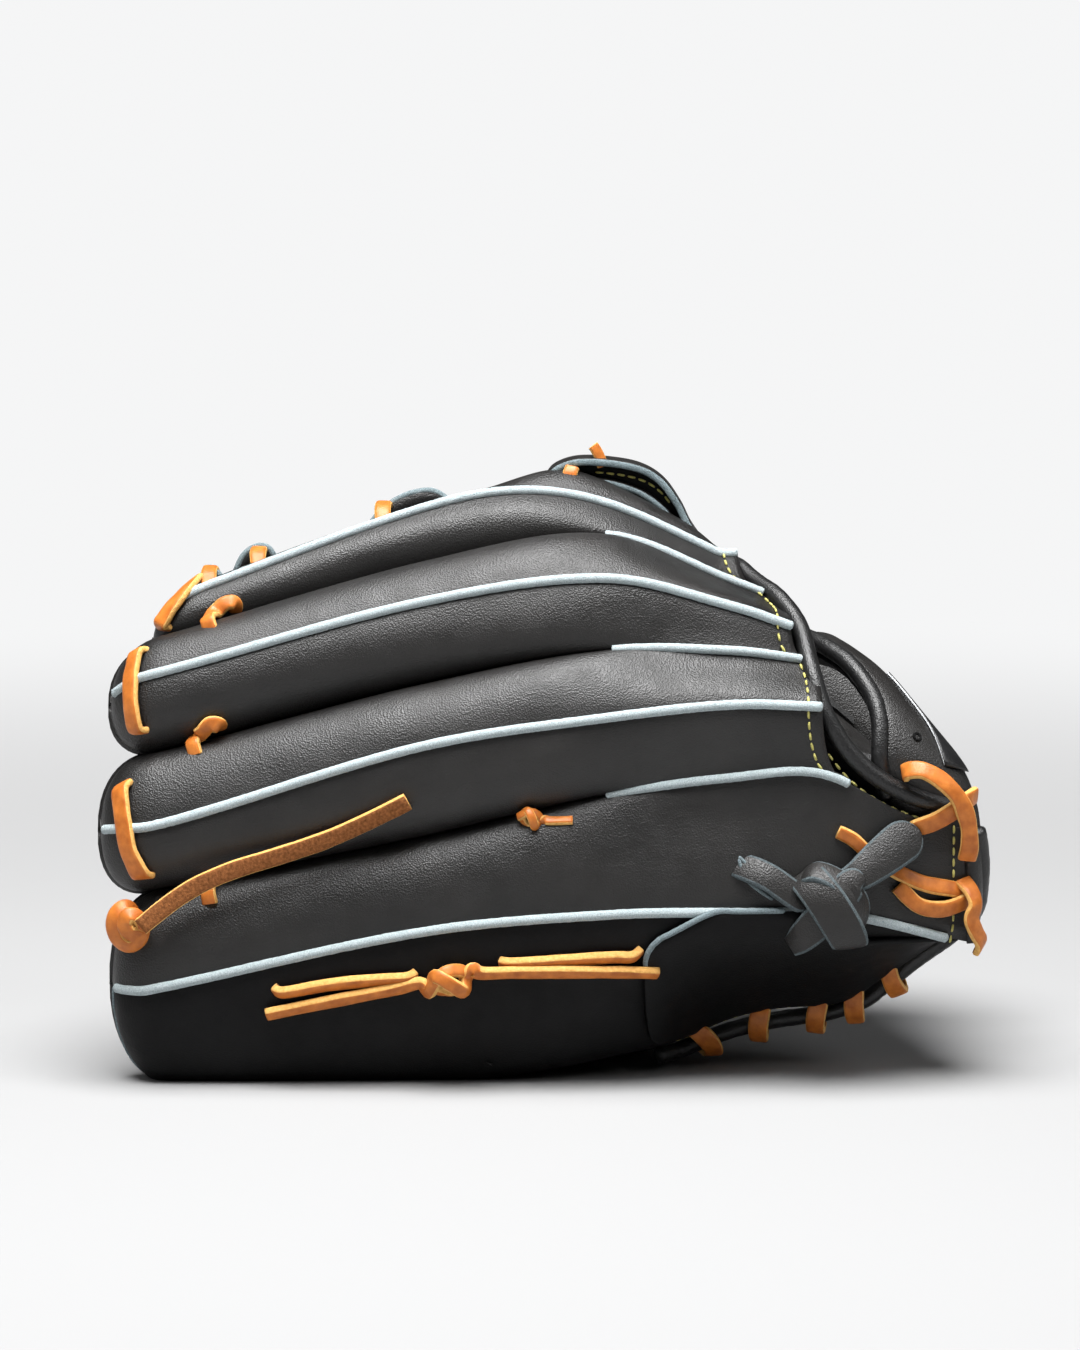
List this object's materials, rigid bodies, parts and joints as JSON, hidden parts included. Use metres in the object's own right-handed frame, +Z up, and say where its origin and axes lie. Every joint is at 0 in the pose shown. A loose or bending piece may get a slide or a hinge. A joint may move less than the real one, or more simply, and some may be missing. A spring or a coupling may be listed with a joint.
{
  "type": "baseball glove",
  "caption": "Five-finger black leather fielder's baseball glove for the left hand, with orange leather laces, pale welts, an open lobed web and a wrist strap",
  "frame": {"origin": "centre of the bounding box at the level it stands on, without the free lace tail", "axes": "+X from the fingertips to the heel, -Y the way the back of the fingers faces, +Z up from the little-finger edge that the glove stands on"},
  "size_m": [0.2896, 0.1616, 0.199],
  "materials": {
    "leather": "fine pebble grain, soft sheen",
    "binding": "rolled smooth leather",
    "lace": "rawhide lace, cream cut edges",
    "welt": "pale suede cord",
    "patch": "plain, white edge",
    "felt": "wool felt",
    "lining": "soft lining leather",
    "stiffener": "moulded sheet"
  },
  "bodies": {
    "root": {"back_binding": "binding", "finger_link_lace": "lace", "fingertip_lace": "lace", "heel_back_panel": "leather", "heel_binding": "binding", "heel_flap": "leather", "heel_lace": "lace", "index_back_lower": "leather", "index_back_upper": "leather", "index_front": "leather", "index_side_wall": "leather", "index_welt": "welt", "middle_back_lower": "leather", "middle_back_upper": "leather", "middle_front": "leather", "middle_welt": "welt", "palm_lining": "lining", "palm_pad": "felt", "palm_shell": "leather", "pinky_back_lower": "leather", "pinky_back_upper": "leather", "pinky_front": "leather", "pinky_heel_pad": "felt", "pinky_inner_loop": "leather", "pinky_lace": "lace", "pinky_lace_knot": "lace", "pinky_stay": "stiffener", "pinky_strap": "leather", "pinky_strap_knot": "leather", "pinky_welt": "welt", "ring_back_lower": "leather", "ring_back_upper": "leather", "ring_front": "leather", "ring_welt": "welt", "tail_knot": "lace", "tail_lace": "lace", "valley_knot": "lace", "web_base_inner": "leather", "web_base_loop": "leather", "web_cross_bar": "leather", "web_index_lace": "lace", "web_index_post": "leather", "wrist_side_panel": "leather"},
    "thumb": {"thumb_back_upper": "leather", "thumb_back_lower": "leather", "thumb_front": "leather", "thumb_welt": "welt", "thumb_palm": "leather", "thumb_pad": "felt", "thumb_stay": "stiffener", "thumb_side_wall": "leather", "web_thumb_post": "leather", "web_thumb_lace": "lace", "thumb_binding": "binding", "thumb_heel_pad": "felt", "thumb_inner_loop": "leather"},
    "strap": {"wrist_strap": "leather", "wrist_strap_pad": "leather", "strap_patch": "patch", "strap_lace": "lace"}
  },
  "joints": [
    {"name": "thumb_fold", "type": "hinge", "parent": "root", "child": "thumb", "pos_m": [0.1377, 0.01615, 0.088], "axis": [0.9659, -0.0701, -0.2493], "range_deg": [-12, 25], "deforming": ["web_cross_bar"]},
    {"name": "strap_lift", "type": "hinge", "parent": "root", "child": "strap", "pos_m": [0.0967, 0.01915, 0.134], "axis": [-1, 0, 0], "range_deg": [0, 10]}
  ]
}
